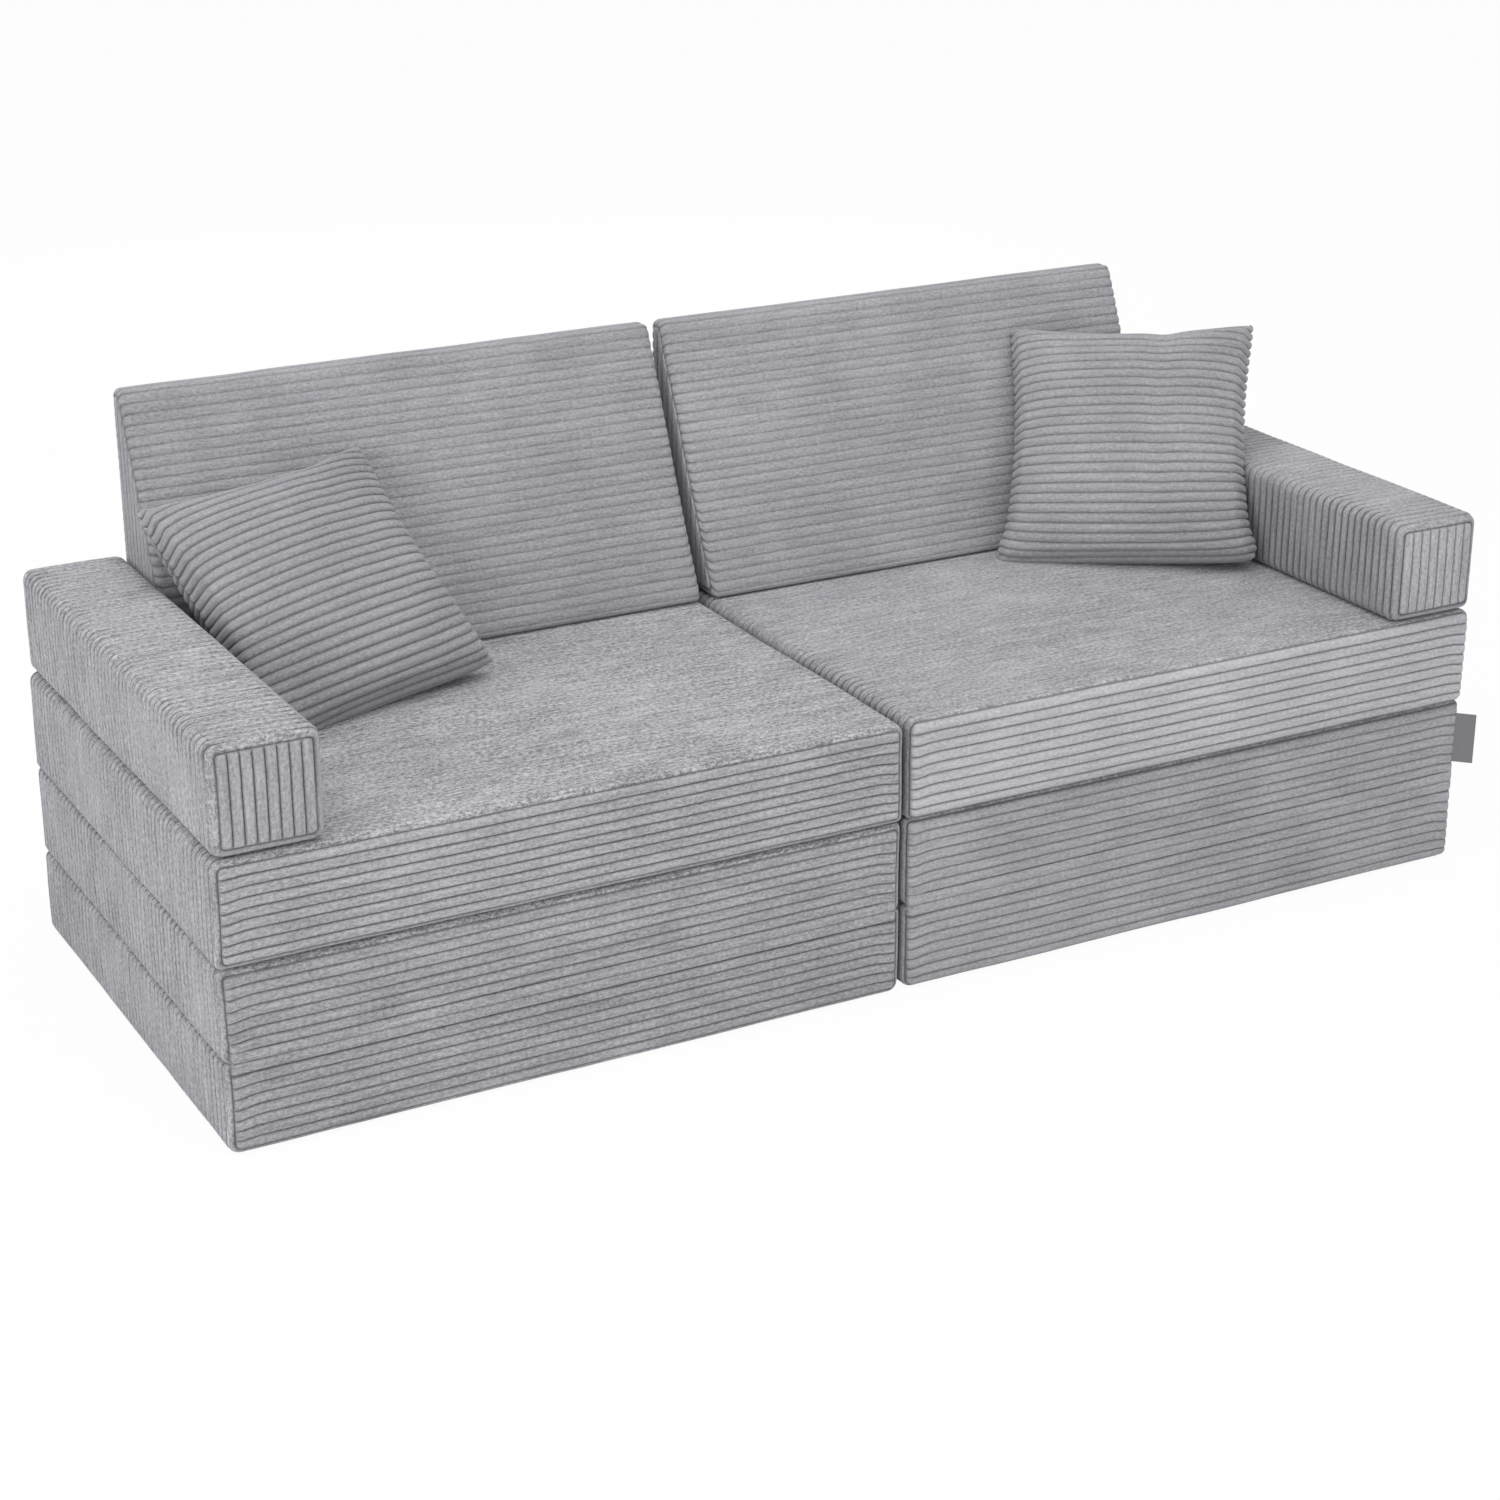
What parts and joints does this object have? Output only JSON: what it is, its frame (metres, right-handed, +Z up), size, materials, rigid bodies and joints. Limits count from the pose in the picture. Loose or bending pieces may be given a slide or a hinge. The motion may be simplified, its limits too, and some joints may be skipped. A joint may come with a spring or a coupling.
{
  "type": "kids fold-out sofa",
  "caption": "Low kids' sofa of side-by-side modules, each a hinged foam mattress folded into a seat, with loose armrests, wedge backrests and pillows in wide-rib corduroy.",
  "frame": {"origin": "on the floor, under the middle of the overall box, between the two modules", "axes": "+Z up, the sofa's front faces -Y, +X to the right seen from the front"},
  "size_m": [1.5114, 0.6101, 0.6069],
  "materials": {
    "corduroy": "wide-rib corduroy plush",
    "foam": "open-cell polyurethane foam",
    "fibre": "loose polyester fibre",
    "zip_tape": "woven nylon tape with a coil",
    "zip_slider": "satin nickel",
    "hinge_tape": "corduroy strip",
    "label": "blank woven label"
  },
  "bodies": {
    "left_base_lower": {"left_base_lower_cover": "corduroy", "left_base_lower_core": "foam", "left_base_lower_zip": "zip_tape", "left_front_hinge_tape": "hinge_tape"},
    "left_base_lower_slider": {"left_base_lower_slider": "zip_slider"},
    "left_base_upper": {"left_base_upper_cover": "corduroy", "left_base_upper_core": "foam", "left_base_upper_zip": "zip_tape", "left_rear_hinge_tape": "hinge_tape"},
    "left_base_upper_slider": {"left_base_upper_slider": "zip_slider"},
    "left_seat": {"left_seat_cover": "corduroy", "left_seat_core": "foam", "left_seat_zip": "zip_tape"},
    "left_seat_slider": {"left_seat_slider": "zip_slider"},
    "left_armrest": {"left_armrest_cover": "corduroy", "left_armrest_core": "foam", "left_armrest_zip": "zip_tape"},
    "left_armrest_slider": {"left_armrest_slider": "zip_slider"},
    "left_backrest": {"left_backrest_cover": "corduroy", "left_backrest_core": "foam", "left_backrest_zip": "zip_tape"},
    "left_backrest_slider": {"left_backrest_slider": "zip_slider"},
    "left_pillow": {"left_pillow_cover": "corduroy", "left_pillow_filling": "fibre"},
    "right_base_lower": {"right_base_lower_cover": "corduroy", "right_base_lower_core": "foam", "right_base_lower_zip": "zip_tape", "right_front_hinge_tape": "hinge_tape"},
    "right_base_lower_slider": {"right_base_lower_slider": "zip_slider"},
    "right_base_upper": {"right_base_upper_cover": "corduroy", "right_base_upper_core": "foam", "right_base_upper_zip": "zip_tape", "right_rear_hinge_tape": "hinge_tape", "label": "label"},
    "right_base_upper_slider": {"right_base_upper_slider": "zip_slider"},
    "right_seat": {"right_seat_cover": "corduroy", "right_seat_core": "foam", "right_seat_zip": "zip_tape"},
    "right_seat_slider": {"right_seat_slider": "zip_slider"},
    "right_armrest": {"right_armrest_cover": "corduroy", "right_armrest_core": "foam", "right_armrest_zip": "zip_tape"},
    "right_armrest_slider": {"right_armrest_slider": "zip_slider"},
    "right_backrest": {"right_backrest_cover": "corduroy", "right_backrest_core": "foam", "right_backrest_zip": "zip_tape"},
    "right_backrest_slider": {"right_backrest_slider": "zip_slider"},
    "right_pillow": {"right_pillow_cover": "corduroy", "right_pillow_filling": "fibre"}
  },
  "joints": [
    {"name": "left_base_unfold", "type": "hinge", "parent": "left_base_lower", "child": "left_base_upper", "pos_m": [-0.3775, -0.2962, 0.09815], "axis": [1, 0, 0], "range_deg": [0, 180]},
    {"name": "left_seat_unfold", "type": "hinge", "parent": "left_base_upper", "child": "left_seat", "pos_m": [-0.3775, 0.3, 0.19645], "axis": [-1, 0, 0], "range_deg": [0, 180]},
    {"name": "left_armrest_slide", "type": "slide", "parent": "left_seat", "child": "left_armrest", "axis": [-1, 0, 0], "range_m": [0, 0.3]},
    {"name": "left_backrest_slide", "type": "slide", "parent": "left_seat", "child": "left_backrest", "axis": [0, 1, 0], "range_m": [0, 0.3]},
    {"name": "left_pillow_lift", "type": "slide", "parent": "left_seat", "child": "left_pillow", "axis": [0, 0, 1], "range_m": [0, 0.3]},
    {"name": "left_base_lower_zip_slide", "type": "slide", "parent": "left_base_lower", "child": "left_base_lower_slider", "axis": [1, 0, 0], "range_m": [0, 0.46]},
    {"name": "left_base_upper_zip_slide", "type": "slide", "parent": "left_base_upper", "child": "left_base_upper_slider", "axis": [1, 0, 0], "range_m": [0, 0.46]},
    {"name": "left_seat_zip_slide", "type": "slide", "parent": "left_seat", "child": "left_seat_slider", "axis": [1, 0, 0], "range_m": [0, 0.46]},
    {"name": "left_armrest_zip_slide", "type": "slide", "parent": "left_armrest", "child": "left_armrest_slider", "axis": [0, -1, 0], "range_m": [0, 0.43]},
    {"name": "left_backrest_zip_slide", "type": "slide", "parent": "left_backrest", "child": "left_backrest_slider", "axis": [1, 0, 0], "range_m": [0, 0.35]},
    {"name": "right_module_slide", "type": "slide", "parent": "left_base_lower", "child": "right_base_lower", "axis": [1, 0, 0], "range_m": [0, 0.4]},
    {"name": "right_base_unfold", "type": "hinge", "parent": "right_base_lower", "child": "right_base_upper", "pos_m": [0.3775, -0.2962, 0.09815], "axis": [1, 0, 0], "range_deg": [0, 180]},
    {"name": "right_seat_unfold", "type": "hinge", "parent": "right_base_upper", "child": "right_seat", "pos_m": [0.3775, 0.3, 0.19645], "axis": [-1, 0, 0], "range_deg": [0, 180]},
    {"name": "right_armrest_slide", "type": "slide", "parent": "right_seat", "child": "right_armrest", "axis": [1, 0, 0], "range_m": [0, 0.3]},
    {"name": "right_backrest_slide", "type": "slide", "parent": "right_seat", "child": "right_backrest", "axis": [0, 1, 0], "range_m": [0, 0.3]},
    {"name": "right_pillow_lift", "type": "slide", "parent": "right_seat", "child": "right_pillow", "axis": [0, 0, 1], "range_m": [0, 0.3]},
    {"name": "right_base_lower_zip_slide", "type": "slide", "parent": "right_base_lower", "child": "right_base_lower_slider", "axis": [-1, 0, 0], "range_m": [0, 0.46]},
    {"name": "right_base_upper_zip_slide", "type": "slide", "parent": "right_base_upper", "child": "right_base_upper_slider", "axis": [-1, 0, 0], "range_m": [0, 0.46]},
    {"name": "right_seat_zip_slide", "type": "slide", "parent": "right_seat", "child": "right_seat_slider", "axis": [-1, 0, 0], "range_m": [0, 0.46]},
    {"name": "right_armrest_zip_slide", "type": "slide", "parent": "right_armrest", "child": "right_armrest_slider", "axis": [0, -1, 0], "range_m": [0, 0.43]},
    {"name": "right_backrest_zip_slide", "type": "slide", "parent": "right_backrest", "child": "right_backrest_slider", "axis": [-1, 0, 0], "range_m": [0, 0.35]}
  ],
  "couplings": [
    {"joint": "left_seat_unfold", "follows": "left_base_unfold", "ratio": 1},
    {"joint": "right_seat_unfold", "follows": "right_base_unfold", "ratio": 1}
  ]
}
